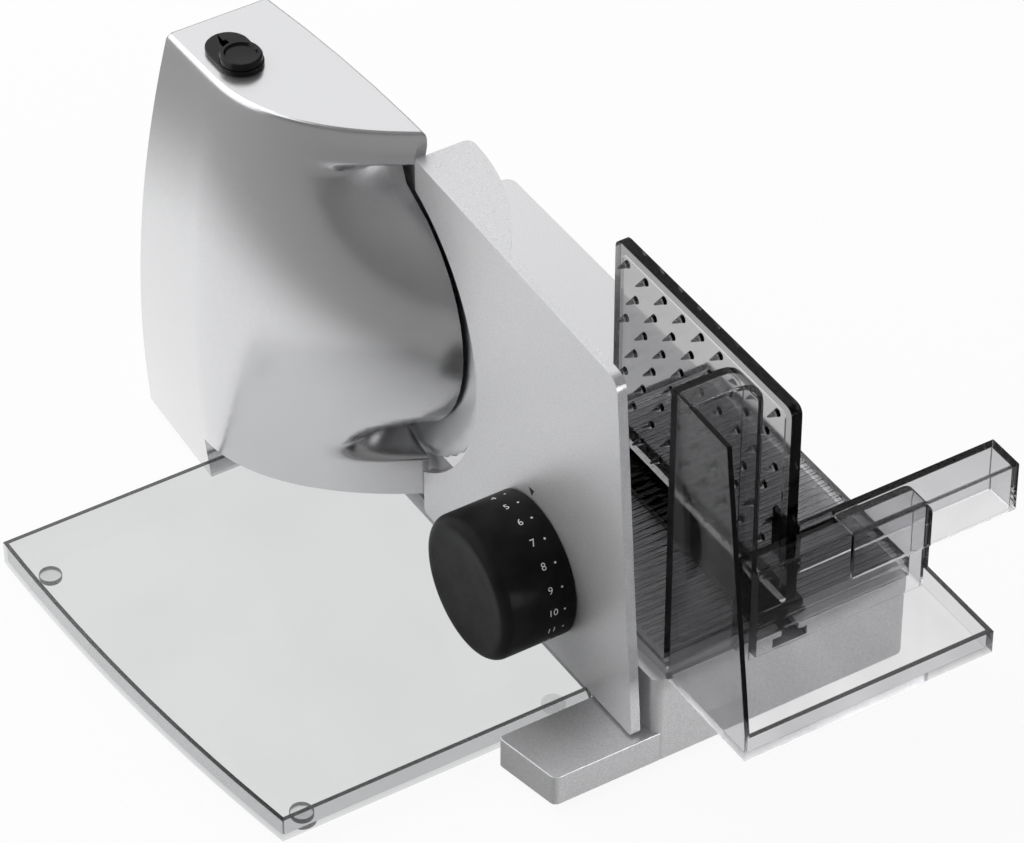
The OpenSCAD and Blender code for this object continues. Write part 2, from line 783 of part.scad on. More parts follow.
module drive_shaft() {
    color("lightgray") difference() {
        bar_x(shaft_r, bridge_x - bridge_t, -blade_t, 0, blade_z);
        bar_x(2.5, -blade_t - 16, over, 0, blade_z);
    }
}

// Worm wheel: each tooth is a tapered bar, tilted by the worm's lead
module worm_wheel() {
    half_tip = tooth_pitch_w / 2 - 0.36 * (wheel_out - wheel_r);
    half_root = tooth_pitch_w / 2 + 0.36 * (wheel_r - wheel_root);
    color("ivory") difference() {
        union() {
            bar_x(wheel_root, wheel_x - wheel_w / 2, wheel_x + wheel_w / 2, 0, blade_z);
            bar_x(shaft_r + 4, wheel_x - wheel_w / 2 - 1.5, flange_left - 9 - slide_gap, 0, blade_z);
            translate([wheel_x, 0, blade_z]) for (i = [0 : wheel_teeth - 1])
                rotate([i * 360 / wheel_teeth, 0, 0]) rotate([0, -worm_lead, 0])
                    translate([-wheel_w / 2, 0, 0]) rotate([90, 0, 90]) linear_extrude(wheel_w)
                        polygon([[wheel_root - 1, -half_root], [wheel_out, -half_tip],
                                 [wheel_out, half_tip], [wheel_root - 1, half_root]]);
        }
        bar_x(shaft_r + seat_gap, wheel_x - 20, flange_left, 0, blade_z);
    }
}

// Hub that the blade sits on
module blade_hub() {
    color("black") turned_x(0, blade_z) polygon([
        [shaft_r + seat_gap, side_right + slide_gap], [shaft_r + 4, side_right + slide_gap],
        [shaft_r + 5, hub_left + 1], [hub_r - 2, hub_left + 1], [hub_r, hub_left + 3],
        [hub_r, -blade_t], [shaft_r + 5, -blade_t], [shaft_r + 5, -0.4], [shaft_r + seat_gap, -0.4]
    ]);
}

// Round blade: flat on the food side, ground on the other, with a waved edge
module blade() {
    per_wave = 4;
    points = wave_count * per_wave;
    color("lightsteelblue") intersection() {
        turned_x(0, blade_z) polygon([
            [shaft_r + 5 + seat_gap, -blade_t], [blade_r - bevel_w, -blade_t],
            [blade_r + over, -0.2], [blade_r + over, 0], [shaft_r + 5 + seat_gap, 0]
        ]);
        translate([0, 0, blade_z]) along_x(-blade_t - over, over) polygon([
            for (i = [0 : points - 1])
                let (a = 360 * i / points, r = blade_r - wave_depth * (0.5 - 0.5 * cos(wave_count * a)))
                [r * cos(a), r * sin(a)]
        ]);
    }
}

// Coin-slot screw that locks the blade to its shaft
module blade_lock() {
    color("black") difference() {
        turned_x(0, blade_z) polygon([
            [0, -blade_t - 12], [2.5 - seat_gap, -blade_t - 12], [2.5 - seat_gap, 0],
            [15, 0], [15, 1.6], [13.5, 3], [0, 3]
        ]);
        box([1.4, -11, blade_z - 1.5], [3 + over, 11, blade_z + 1.5]);
    }
}

// Oval plate of the switch on the roof
module switch_plate() {
    color("black") difference() {
        translate([-switch_x, switch_y, tower_h]) linear_extrude(switch_t)
            round_rect([-switch_w / 2, -switch_len / 2], [switch_w / 2, switch_len / 2], switch_w / 2 - 0.01);
        translate([-switch_x, switch_y, tower_h - over]) linear_extrude(switch_t + 2 * over)
            round_rect([-1.7, -button_travel / 2 - 4], [1.7, button_travel / 2 + 4], 1);
    }
}

// Round button with a raised rim, on a stem through the plate
module switch_button() {
    z = tower_h + switch_t + slide_gap;
    y = switch_y - button_travel / 2;
    color("black") {
        translate([-switch_x, y, z]) rotate_extrude()
            polygon([[0, 0], [button_r, 0], [button_r, 2.2], [button_r - 0.8, 3.2], [button_r - 2, 3.2],
                     [button_r - 2.8, 2], [0, 1.6]]);
        box([-switch_x - 1.3, y - 3.4, tower_h - tower_wall - 1.5], [-switch_x + 1.3, y + 3.4, z + over]);
    }
}

// Switch body hung under the roof, below the button's stem
module micro_switch() {
    top = tower_h - tower_wall;
    color("dimgray") difference() {
        box([-switch_x - 8, switch_y - 17, top - 17], [-switch_x + 8, switch_y + 17, top]);
        box([-switch_x - 3.4, switch_y - 13, top - 2.4], [-switch_x + 3.4, switch_y + 13, top + over]);
    }
}

module plate_outline() {
    difference() {
        polygon(soft_corners([
            [-plate_front, plate_z], [-plate_notch_low, plate_z], [-plate_notch_low, blade_z],
            [-plate_notch_top, blade_z], [-plate_notch_top, plate_back_z],
            [-plate_top_front, plate_front_z]
        ], [2.5, 2.5, 2.5, 2.5, 2.5, plate_corner]));
        translate([0, blade_z]) circle(arc_r);
    }
}

// Lens-shaped hood on the plate's top, over the blade
module hood() {
    depth = hood_reach - plate_face;
    r = (depth * depth + pow(hood_len - 5, 2)) / (2 * depth);
    translate([0, -plate_notch_top, plate_back_z]) rotate([plate_slope, 0, 0])
        translate([0, 0, -hood_t]) linear_extrude(hood_t) intersection() {
            translate([hood_reach - r, -5]) circle(r, $fn = 180);
            translate([plate_left + 0.5, -hood_len - 20]) square([depth + plate_t + 20, hood_len + 20]);
        }
}

module stop_plate() {
    color("silver") difference() {
        union() {
            along_x(plate_left, plate_face) plate_outline();
            hood();
        }
        for (y = rod_ys) bar_x(rod_r + seat_gap, plate_face - rod_seat, plate_face + over, y, rod_z);
        bar_x(rod_r + seat_gap, plate_left - over, plate_left + rod_seat, -knob_y, knob_z);
        box([plate_left - over, -knob_y - 5, knob_z - follower_top - 1],
            [plate_face + over, -knob_y + 5, knob_z - follower_low + 1]);
    }
}

module guide_rods() {
    color("lightgray") for (y = rod_ys)
        bar_x(rod_r, plate_face - rod_seat, plate_face - rod_seat + rod_len, y, rod_z);
}

module guide_bushes() {
    color("goldenrod") for (y = rod_ys) difference() {
        bar_x(rod_r + bush_t, deck_gap + 0.2, deck_gap + 17, y, rod_z);
        bar_x(rod_r + run_gap, deck_gap - over, deck_gap + 18, y, rod_z);
    }
}

module knob_axle() {
    color("lightgray") bar_x(rod_r, knob_front + 6, plate_left + rod_seat, -knob_y, knob_z);
}

// Helical groove inside the knob's skirt: one turn of the knob gives its lead along X
module cam_groove(steps) {
    first = -setting - 0.4;
    last = setting_max - setting + 0.4;
    rings = [for (i = [0 : steps])
        let (x = mix(first, last, i / steps), a = 270 + knob_turn * x)
        [for (p = [[knob_skirt - 1, -groove_w / 2], [groove_r, -groove_w / 2],
                   [groove_r, groove_w / 2], [knob_skirt - 1, groove_w / 2]])
            [follower_x + x + p[1], p[0] * cos(a), p[0] * sin(a)]]
    ];
    translate([0, -knob_y, knob_z]) coil(rings);
}

// Knob: a cup with a hub, open towards the plate
module setting_knob() {
    front_wall = 5;
    hub = rod_r + 4;
    color("black") difference() {
        turned_x(-knob_y, knob_z) polygon(concat(
            [[0, knob_front]],
            [for (k = [0 : 5]) let (a = 90 * k / 5)
                [knob_r - knob_round + knob_round * sin(a), knob_front + knob_round - knob_round * cos(a)]],
            [[knob_r, knob_back], [knob_skirt, knob_back], [knob_skirt, knob_front + front_wall],
             [hub, knob_front + front_wall], [hub, knob_back], [0, knob_back]]
        ));
        bar_x(rod_r + run_gap, knob_front + front_wall, knob_back + over, -knob_y, knob_z);
        cam_groove(40);
    }
}

// Fixed arm through the stop plate, with the pin that runs in the knob's groove
module cam_follower() {
    low = knob_z - follower_top;
    high = knob_z - follower_low;
    color("gray") {
        box([follower_x - 4, -knob_y - 4, low], [deck_gap + base_wall + 4, -knob_y + 4, high]);
        box([deck_gap + base_wall + seat_gap, -knob_y - 10, low - 3],
            [deck_gap + base_wall + 4, -knob_y + 10, min(high + 3, deck_z - base_wall - seat_gap)]);
        bar_z(follower_r, knob_z - groove_r + slide_gap, low + 1, follower_x, -knob_y);
    }
}

// Fin of the thumb guard, beside the blade
module guard_fin() {
    along_x(carriage_gap, carriage_gap + carriage_wall) polygon([
        [-wall_back, carriage_z], [-wall_back, deck_z + guard_h],
        [-shelf_front + 21, deck_z + guard_h - 2], [-shelf_front, carriage_z + shelf_rim],
        [-shelf_front, carriage_z]
    ]);
}

// Carriage: ribbed floor, wall with its rail, thumb guard and front shelf in one see-through moulding
module carriage() {
    t = carriage_wall;
    ribs = floor((wall_back - floor_back - 8) / rib_pitch);
    color([0.35, 0.36, 0.38, 0.6]) difference() {
        union() {
            // food floor with its skirt
            difference() {
                box([carriage_gap, -wall_back, carriage_z], [carriage_right, -floor_back, floor_top]);
                box([carriage_gap + t, -wall_back - over, carriage_z - over],
                    [carriage_right - t, -floor_back - t, floor_top - t]);
            }
            for (i = [0 : ribs])
                box([carriage_gap + 4, -wall_back + 4 + i * rib_pitch, floor_top - 0.5],
                    [carriage_right - 2, -wall_back + 5.6 + i * rib_pitch, floor_top + rib_h]);
            // wall and rail
            along_y(-rail_front, -wall_back) polygon(concat(
                [[carriage_gap, carriage_z], [carriage_right, carriage_z], [carriage_right, rail_top - 7]],
                [for (k = [0 : 5]) let (a = 90 * k / 5)
                    [carriage_right - 7 + 7 * cos(a), rail_top - 7 + 7 * sin(a)]],
                [[guard_right, rail_top], [guard_right, deck_z + guard_h - 14]],
                [for (k = [0 : 5]) let (a = 90 * k / 5)
                    [guard_right - 14 + 14 * cos(a), deck_z + guard_h - 14 + 14 * sin(a)]],
                [[carriage_gap, deck_z + guard_h]]
            ));
            guard_fin();
            // shelf with its rim
            difference() {
                box([carriage_gap, -shelf_front, carriage_z],
                    [carriage_right, -rail_front + over, carriage_z + shelf_rim]);
                box([carriage_gap + t, -shelf_front + t, carriage_z + t],
                    [carriage_right - t, -rail_front + 2 * over, carriage_z + shelf_rim + over]);
            }
        }
        // hollow of the rail, open below
        box([guard_right + t, -rail_front + t, carriage_z - over],
            [carriage_right - t, -wall_back - t, rail_top - t]);
        // hollow of the thumb guard, open to the front above the shelf
        along_y(-rail_front - over, -wall_back - t) polygon(concat(
            [[carriage_gap + t, carriage_z + t], [guard_right - t, carriage_z + t],
             [guard_right - t, deck_z + guard_h - 14]],
            [for (k = [0 : 5]) let (a = 90 * k / 5, r = 14 - t)
                [guard_right - 14 + r * cos(a), deck_z + guard_h - 14 + r * sin(a)]],
            [[carriage_gap + t, deck_z + guard_h - t]]
        ));
    }
}

// Shoe under the food floor, held in the deck's T slot
module slide_shoe() {
    y0 = -wall_back + 6;
    y1 = -floor_back - 10;
    neck = slot_neck / 2 - slide_gap;
    head = slot_head / 2 - slide_gap;
    color("black") {
        box([slot_x - 12, y0, carriage_z + slide_gap], [slot_x + 12, y1, floor_top - carriage_wall]);
        box([slot_x - neck, y0, deck_z - base_wall - over], [slot_x + neck, y1, carriage_z + over]);
        box([slot_x - head, y0, deck_z - base_wall - slot_deep + slide_gap],
            [slot_x + head, y1, deck_z - base_wall - slide_gap]);
    }
}

// Box handle that straddles the rail, and the arm with its foot on the spiked plate
module pusher_handle() {
    front = -rail_front - rail_gap - handle_wall;
    top = rail_top + rail_gap + handle_wall;
    low = top - handle_h;
    foot_x = pusher_x + pusher_t;
    color([0.35, 0.36, 0.38, 0.6]) {
        difference() {
            box([handle_left, front, low], [handle_right, handle_back, top]);
            box([handle_left - over, front + handle_wall, low - over],
                [handle_right - handle_wall, handle_back - handle_wall, top - handle_wall]);
        }
        box([foot_x, handle_back - handle_wall, low], [handle_left + over, handle_back, top]);
        box([foot_x, handle_back - handle_wall, low], [foot_x + handle_wall, handle_back + 14, top]);
    }
}

// Spiked plate with a raised rim on its food side
module pusher_plate() {
    plate_low = floor_top + rib_h + 3;
    plate_top = deck_z + pusher_h;
    front = handle_back - handle_wall;
    rows = floor((plate_top - plate_low - 14) / (spike_pitch * 1.04));
    cols = floor((wall_back - pusher_back - 16) / spike_pitch);
    color([0.35, 0.36, 0.38, 0.6]) {
        difference() {
            along_x(pusher_x, pusher_x + pusher_t) polygon(soft_corners([
                [front, plate_low], [-pusher_back, plate_low],
                [-pusher_back, plate_top], [front, plate_top]
            ], 5));
            along_x(pusher_x - over, pusher_x + 1.4) polygon(soft_corners([
                [front + 5, plate_low + 5], [-pusher_back - 5, plate_low + 5],
                [-pusher_back - 5, plate_top - 5], [front + 5, plate_top - 5]
            ], 3));
        }
        for (j = [0 : rows], i = [0 : cols - j % 2])
            translate([pusher_x + 2, -pusher_back - 8 - (i + (j % 2) / 2) * spike_pitch,
                       plate_top - 10 - j * spike_pitch * 1.04])
                rotate([0, -90, 0]) cylinder(r1 = 2.2, r2 = 0.4, h = spike_len, $fn = 24);
    }
}

module tray_outline(inset) {
    intersection() {
        translate([-tray_left + tray_arc_r, 25]) circle(tray_arc_r - inset, $fn = 360);
        round_rect([-tray_left - 5, -tray_front + inset], [tray_right - inset, tray_back - inset], 4);
    }
}

// Tray with a low rim, under the stop plate and the housing's sill
module tray() {
    color([0.85, 0.86, 0.87, 0.4]) translate([0, 0, floor_z]) difference() {
        linear_extrude(tray_h) tray_outline(0);
        translate([0, 0, tray_wall]) linear_extrude(tray_h) tray_outline(tray_wall);
    }
}

// Round feet under the tray's corners
module tray_feet() {
    places = [[-tray_left + 14, tray_back - 18], [-tray_left + 34, -tray_front + 12],
              [-16, tray_back - 18], [-16, -tray_front + 12]];
    color("gainsboro") for (p = places) bar_z(tray_foot_r, 0, floor_z, p[0], p[1]);
}

// Moves the slicer into its own frame
module in_frame() {
    translate([-frame_x, -frame_y, 0]) children();
}

in_frame() base_housing();
in_frame() base_cover();
in_frame() rubber_feet();
in_frame() cover_screws();
in_frame() tower_screws();
in_frame() cord_bush();
in_frame() motor_housing();
in_frame() side_cover();
in_frame() side_screws();
in_frame() gear_bridge();
in_frame() shaft_bushes();
in_frame() worm_bush();
in_frame() motor_can();
in_frame() motor_magnets();
in_frame() motor_caps();
in_frame() motor_clamp();
in_frame() armature();
in_frame() motor_shaft();
in_frame() worm();
in_frame() drive_shaft();
in_frame() worm_wheel();
in_frame() blade_hub();
in_frame() blade();
in_frame() blade_lock();
in_frame() switch_plate();
in_frame() switch_button();
in_frame() micro_switch();
in_frame() stop_plate();
in_frame() guide_rods();
in_frame() guide_bushes();
in_frame() knob_axle();
in_frame() setting_knob();
in_frame() cam_follower();
in_frame() carriage();
in_frame() slide_shoe();
in_frame() pusher_handle();
in_frame() pusher_plate();
in_frame() tray();
in_frame() tray_feet();
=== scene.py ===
"""Food slicer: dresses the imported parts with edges, marks and finishes, and sets the stage."""

import json
import math

import bmesh
import bpy
from mathutils import Matrix, Vector


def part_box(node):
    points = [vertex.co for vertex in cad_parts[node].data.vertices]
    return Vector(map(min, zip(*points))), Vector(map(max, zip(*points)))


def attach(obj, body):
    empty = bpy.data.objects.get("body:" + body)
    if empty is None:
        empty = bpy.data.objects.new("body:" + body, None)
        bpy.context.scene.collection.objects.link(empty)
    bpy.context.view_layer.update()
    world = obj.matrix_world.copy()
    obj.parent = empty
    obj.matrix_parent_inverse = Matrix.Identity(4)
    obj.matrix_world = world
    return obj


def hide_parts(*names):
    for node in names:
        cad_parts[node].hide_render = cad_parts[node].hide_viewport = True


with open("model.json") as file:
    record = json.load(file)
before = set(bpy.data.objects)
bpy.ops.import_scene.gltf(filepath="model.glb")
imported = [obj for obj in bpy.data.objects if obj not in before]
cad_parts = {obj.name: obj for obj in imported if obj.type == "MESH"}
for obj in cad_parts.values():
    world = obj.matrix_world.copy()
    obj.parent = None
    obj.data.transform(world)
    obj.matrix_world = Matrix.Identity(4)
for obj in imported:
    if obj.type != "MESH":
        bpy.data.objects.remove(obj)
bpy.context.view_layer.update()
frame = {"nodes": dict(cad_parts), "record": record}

bl_info = {
    "name": "Food Slicer Dressing",
    "version": (1, 0, 0),
    "blender": (4, 5, 0),
    "location": "View3D > Sidebar > Slicer",
    "description": "Edges, marks, finishes and stage for a food slicer",
    "category": "Object",
}

MM = 0.001
NODES = frame["nodes"]
FINISHES = {}

# Angles in degrees over which an edge counts as sharp
CORNER = 35.0
MOULDED_CORNER = 40.0
TURNED_CORNER = 50.0
SWITCH_CORNER = 60.0
SHADING_CORNER = 38.0

# Small sizes
SMALL_EDGE = 0.3 * MM
SWITCH_EDGE = 0.6 * MM
THIN_WALL = 3.4 * MM
HAIR = 0.1 * MM

# Knob's scale, in degrees about its axis
SCALE_STEP = 19.0
SCALE_LAST = 17
SHOWN_NUMBER = 5
SHOWN_TURN = 82.5
POINTER_TURN = 84.4

# Height of a numeral in the font's size
CAP_SHARE = 0.7

# Photograph's camera, in pixels, degrees and millimetres
IMAGE_WIDTH, IMAGE_HEIGHT = 1024.0, 843.0
FOCAL = 5500.0
PIXELS_PER_MM = 2.25
AZIMUTH, ELEVATION, ROLL = -32.05, 40.73, 0.17
AIM = (-6.5, 79.35, 126.0)
AIM_PIXEL = (380.5, 280.6)
SENSOR_WIDTH = 36.0

# Shares of white that camera, transmission and glossy rays are shown
WHITE_RAYS = ("Is Camera Ray", "Is Transmission Ray", "Is Glossy Ray")
FLOOR_SHARES = (0.92, 0.45, 0.85)
ROOM_SHARES = (1.0, 0.5, 0.12)

# Painted pool of light on the floor, seen only in reflections: brighter near a place behind the
# tray, darker away from it, in metres
PAINTED_POOL_PLACE = (-0.11, 0.2, 0.0)
PAINTED_POOL_FADE = {"From Min": 0.15, "From Max": 0.30, "To Min": 0.3, "To Max": -0.70}

# Lamps: name, place, size in metres and power in watts
LAMPS = (
    ("left_softbox", (-1.2, 1.2, 0.9), (3.2, 3.2), 60.0),
    ("back_softbox", (0.6, 1.3, 1.5), (2.4, 2.4), 20.0),
    ("right_fill", (0.9, -1.35, 0.12), (1.0, 0.24), 23.0),
)
LAMP_AIM = (0.0, 0.0, 0.1)


def size_prop(name, words, value):
    """A length that a user may change, in metres."""
    return bpy.props.FloatProperty(
        name=name,
        description=words,
        default=value,
        min=0.0,
        soft_max=1.0,
        precision=5,
        unit="LENGTH",
    )


def colour_prop(name, words, value):
    """A colour that a user may change."""
    return bpy.props.FloatVectorProperty(
        name=name, description=words, default=value, min=0.0, max=1.0, size=3, subtype="COLOR"
    )


class SlicerSizes(bpy.types.PropertyGroup):
    """Sizes of the edges and the printed marks."""

    plate_edge: size_prop("Stop plate edge", "Rounding of the stop plate's outline", 1.1 * MM)
    hood_round: size_prop("Hood corner", "Rounding of the hood's back corner", 4.0 * MM)
    base_edge: size_prop("Base edge", "Rounding of the deck's and toe's edges", 1.6 * MM)
    clear_edge: size_prop("Clear edge", "Rounding of the see-through mouldings", 0.5 * MM)
    mark_lift: size_prop("Mark lift", "Height of the printed marks over their surface", 0.06 * MM)
    numeral_height: size_prop("Numeral height", "Height of the knob's numerals", 3.5 * MM)
    numeral_back: size_prop("Numeral place", "Numerals, from the knob's back edge", 12.0 * MM)
    dot_back: size_prop("Dot place", "Dots, from the knob's back edge", 6.2 * MM)
    dot_radius: size_prop("Dot radius", "Radius of the scale's dots", 0.55 * MM)
    pointer_width: size_prop("Pointer width", "Width of the pointer on the stop plate", 4.6 * MM)
    pointer_height: size_prop("Pointer height", "Height of the pointer on the stop plate", 4.0 * MM)


class SlicerColours(bpy.types.PropertyGroup):
    """Colours of the finishes."""

    silver: colour_prop("Silver", "Silver of the housing, base and stop plate", (0.58, 0.58, 0.59))
    smoke: colour_prop("Smoke", "Tint of the carriage and the pusher", (0.92, 0.92, 0.93))
    clear: colour_prop("Clear", "Tint of the tray", (0.75, 0.755, 0.76))
    black: colour_prop("Black", "Moulded black of the knob and switch", (0.0105, 0.0105, 0.011))
    steel: colour_prop("Steel", "Ground steel of the blade", (0.58, 0.59, 0.60))
    marks: colour_prop("Marks", "Print on the knob", (0.86, 0.86, 0.85))
    floor: colour_prop("Floor", "Plain floor of the stage", (0.85, 0.85, 0.85))


def sizes():
    return bpy.context.scene.slicer_sizes


def colours():
    return bpy.context.scene.slicer_colours


# Materials


class Finish:
    """A node material under construction, with short ways to add grain and tone."""

    def __init__(self, name):
        self.material = bpy.data.materials.new(name)
        self.material.use_nodes = True
        self.tree = self.material.node_tree
        self.shader = self.tree.nodes["Principled BSDF"]
        self.coord = self.tree.nodes.new("ShaderNodeTexCoord")

    def set(self, **values):
        """Sets the shader's own sockets; underscores stand for spaces."""
        for key, value in values.items():
            self.shader.inputs[key.replace("_", " ")].default_value = value
        return self

    def node(self, kind, **values):
        made = self.tree.nodes.new(kind)
        for key, value in values.items():
            setattr(made, key, value)
        return made

    def link(self, a, b):
        self.tree.links.new(a, b)

    def noise(self, scale, detail, stretch=None):
        """Noise on Object coordinates, drawn out along an axis where stretch is given."""
        texture = self.node("ShaderNodeTexNoise")
        texture.inputs["Scale"].default_value = scale
        texture.inputs["Detail"].default_value = detail
        source = self.coord.outputs["Object"]
        if stretch:
            mapping = self.node("ShaderNodeMapping")
            mapping.inputs["Scale"].default_value = stretch
            self.link(source, mapping.inputs["Vector"])
            source = mapping.outputs["Vector"]
        self.link(source, texture.inputs["Vector"])
        return texture.outputs["Fac"]

    def ramp(self, factor, low, high, start, end):
        """Maps a factor between two colours or two numbers."""
        made = self.node("ShaderNodeValToRGB")
        for element, value, place in zip(made.color_ramp.elements, (low, high), (start, end)):
            element.position = place
            rgb = value if isinstance(value, tuple) else (value, value, value)
            element.color = (*rgb, 1.0)
        self.link(factor, made.inputs["Fac"])
        return made.outputs["Color"]

    def tone(self, factor, low, high, start=0.35, end=0.65):
        """Base colour between two tones."""
        self.link(self.ramp(factor, low, high, start, end), self.shader.inputs["Base Color"])
        return self

    def gloss(self, factor, low, high):
        """Roughness between two levels."""
        self.link(self.ramp(factor, low, high, 0.3, 0.7), self.shader.inputs["Roughness"])
        return self

    def edges(self, dark):
        """Paints shade on the moulding's edges, which are marked on its faces, by mixing their
        colour towards a dark one.
        """
        marks = self.node("ShaderNodeAttribute", attribute_name="edge")
        mix = self.node("ShaderNodeMix", data_type="RGBA")
        socket = self.shader.inputs["Base Color"]
        face = socket.links[0].from_socket
        mix.inputs["B"].default_value = (*dark, 1.0)
        self.link(marks.outputs["Fac"], mix.inputs["Factor"])
        self.link(face, mix.inputs["A"])
        self.link(mix.outputs["Result"], socket)
        return self

    def depth(self, density):
        """Grey tint that grows with the thickness looked through, per metre."""
        tint = self.node("ShaderNodeVolumeAbsorption")
        tint.inputs["Color"].default_value = (0.0, 0.0, 0.0, 1.0)
        tint.inputs["Density"].default_value = density
        self.link(tint.outputs["Volume"], self.tree.nodes["Material Output"].inputs["Volume"])
        return self

    def grain(self, factor, depth, strength):
        """Bump of a given depth in metres."""
        bump = self.node("ShaderNodeBump")
        bump.inputs["Strength"].default_value = strength
        bump.inputs["Distance"].default_value = depth
        self.link(factor, bump.inputs["Height"])
        self.link(bump.outputs["Normal"], self.shader.inputs["Normal"])
        return self


def shade(colour, by):
    """A colour made lighter or darker."""
    return tuple(min(1.0, max(0.0, c * by)) for c in colour)


def silver_paint(name, metal, rough, spread, sparkle, lift):
    """Fine metallic paint: flakes a fraction of a millimetre across."""
    base = shade(tuple(colours().silver), lift)
    f = Finish(name).set(Metallic=metal, Specular_IOR_Level=0.5)
    flakes = f.noise(2300.0, 1.0)
    f.tone(flakes, shade(base, 1.0 - sparkle), shade(base, 1.0 + sparkle))
    f.gloss(f.noise(420.0, 2.0), rough, rough + spread)
    return f.grain(flakes, 0.05 * MM, sparkle).material


def smoked_plastic(name, density):
    """See-through grey moulding with faint flow marks in its gloss, and painted shade on its marked
    edges.
    """
    base = tuple(colours().smoke)
    f = Finish(name).set(Transmission_Weight=1.0, IOR=1.19, Specular_IOR_Level=0.9)
    flow = f.noise(26.0, 2.0, (1.0, 0.35, 1.0))
    f.tone(flow, shade(base, 0.95), shade(base, 1.04))
    # Painted shade: marked edges are darkened towards 0.15 of the tint.
    f.edges(shade(base, 0.15)).depth(density)
    return f.gloss(f.noise(60.0, 2.0), 0.03, 0.07).material


def clear_plastic():
    """Clear tray moulding with a slight grey tint, and painted shade, near black, on its marked
    edges.
    """
    base = tuple(colours().clear)
    f = Finish("clear_plastic").set(Transmission_Weight=1.0, IOR=1.15, Specular_IOR_Level=0.7)
    f.tone(f.noise(18.0, 2.0), shade(base, 0.985), shade(base, 1.01))
    # Painted shade: the rim's marked faces go near black.
    f.edges((0.03, 0.03, 0.03)).depth(30.0)
    return f.gloss(f.noise(40.0, 2.0), 0.03, 0.08).material


def clear_pads():
    """Clear soft feet of the tray, with painted shade round their sides, where they are also less
    see-through.
    """
    f = Finish("clear_pads").set(IOR=1.42, Specular_IOR_Level=0.4)
    f.tone(f.noise(300.0, 2.0), (0.50, 0.50, 0.50), (0.60, 0.60, 0.60))
    # Painted shade: marked side faces go near black and more opaque.
    f.edges((0.03, 0.03, 0.03))
    marks = f.node("ShaderNodeAttribute", attribute_name="edge")
    f.link(f.ramp(marks.outputs["Fac"], 0.12, 0.8, 0.0, 1.0), f.shader.inputs["Alpha"])
    return f.gloss(f.noise(200.0, 2.0), 0.15, 0.25).material


def black_moulding():
    """Black plastic with a fine spark-eroded grain."""
    base = tuple(colours().black)
    f = Finish("black_moulding").set(Specular_IOR_Level=0.06)
    grit = f.noise(1500.0, 2.0)
    f.tone(f.noise(90.0, 3.0), shade(base, 0.8), shade(base, 1.35))
    f.gloss(grit, 0.34, 0.46)
    return f.grain(grit, 0.06 * MM, 0.3).material


def gloss_black():
    """Polished black of the switch."""
    base = tuple(colours().black)
    f = Finish("gloss_black").set(Specular_IOR_Level=0.14)
    f.tone(f.noise(120.0, 2.0), shade(base, 0.9), shade(base, 1.3))
    return f.gloss(f.noise(80.0, 2.0), 0.10, 0.18).material


def dark_moulding():
    """Inner plastic, duller than the outer black."""
    f = Finish("dark_moulding").set(Specular_IOR_Level=0.4)
    f.tone(f.noise(70.0, 3.0), (0.045, 0.045, 0.048), (0.075, 0.075, 0.078))
    return f.gloss(f.noise(400.0, 2.0), 0.5, 0.65).material


def rubber():
    """Dull rubber of the feet."""
    f = Finish("foot_rubber").set(Specular_IOR_Level=0.3)
    grit = f.noise(900.0, 3.0)
    f.tone(grit, (0.018, 0.018, 0.018), (0.035, 0.035, 0.035))
    f.gloss(f.noise(200.0, 2.0), 0.7, 0.85)
    return f.grain(grit, 0.1 * MM, 0.4).material


def turned_metal(name, low, high, rough):
    """Machined metal, streaked along its turning."""
    f = Finish(name).set(Metallic=1.0)
    streak = f.noise(900.0, 2.0, (1.0, 0.12, 0.12))
    f.tone(streak, low, high)
    return f.gloss(streak, rough, rough + 0.14).material


def ground_steel():
    """Blade steel, ground in rings about the blade's axis."""
    base = tuple(colours().steel)
    f = Finish("ground_steel").set(Metallic=1.0, Anisotropic=0.4)
    low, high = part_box("blade")
    mapping = f.node("ShaderNodeMapping")
    mapping.inputs["Location"].default_value = tuple(-(low + high) / 2)
    f.link(f.coord.outputs["Object"], mapping.inputs["Vector"])
    rings = f.node("ShaderNodeTexWave", wave_type="RINGS", rings_direction="X")
    rings.inputs["Scale"].default_value = 420.0
    rings.inputs["Distortion"].default_value = 0.4
    rings.inputs["Detail"].default_value = 1.0
    f.link(mapping.outputs["Vector"], rings.inputs["Vector"])
    f.tone(rings.outputs["Fac"], shade(base, 0.97), shade(base, 1.03), 0.2, 0.8)
    return f.gloss(rings.outputs["Fac"], 0.28, 0.34).material


def nylon():
    """Cream nylon of the worm wheel."""
    f = Finish("gear_nylon").set(Specular_IOR_Level=0.4)
    f.tone(f.noise(120.0, 2.0), (0.72, 0.70, 0.62), (0.80, 0.78, 0.71))
    return f.gloss(f.noise(300.0, 2.0), 0.4, 0.55).material


def print_white():
    """Print of the knob's scale."""
    f = Finish("print_white").set(Specular_IOR_Level=0.4)
    base = tuple(colours().marks)
    f.tone(f.noise(2400.0, 2.0), shade(base, 0.9), base)
    return f.gloss(f.noise(800.0, 2.0), 0.45, 0.6).material


def print_black():
    """Print of the pointer."""
    f = Finish("print_black").set(Specular_IOR_Level=0.4)
    f.tone(f.noise(2400.0, 2.0), (0.012, 0.012, 0.012), (0.03, 0.03, 0.03))
    return f.gloss(f.noise(800.0, 2.0), 0.4, 0.55).material


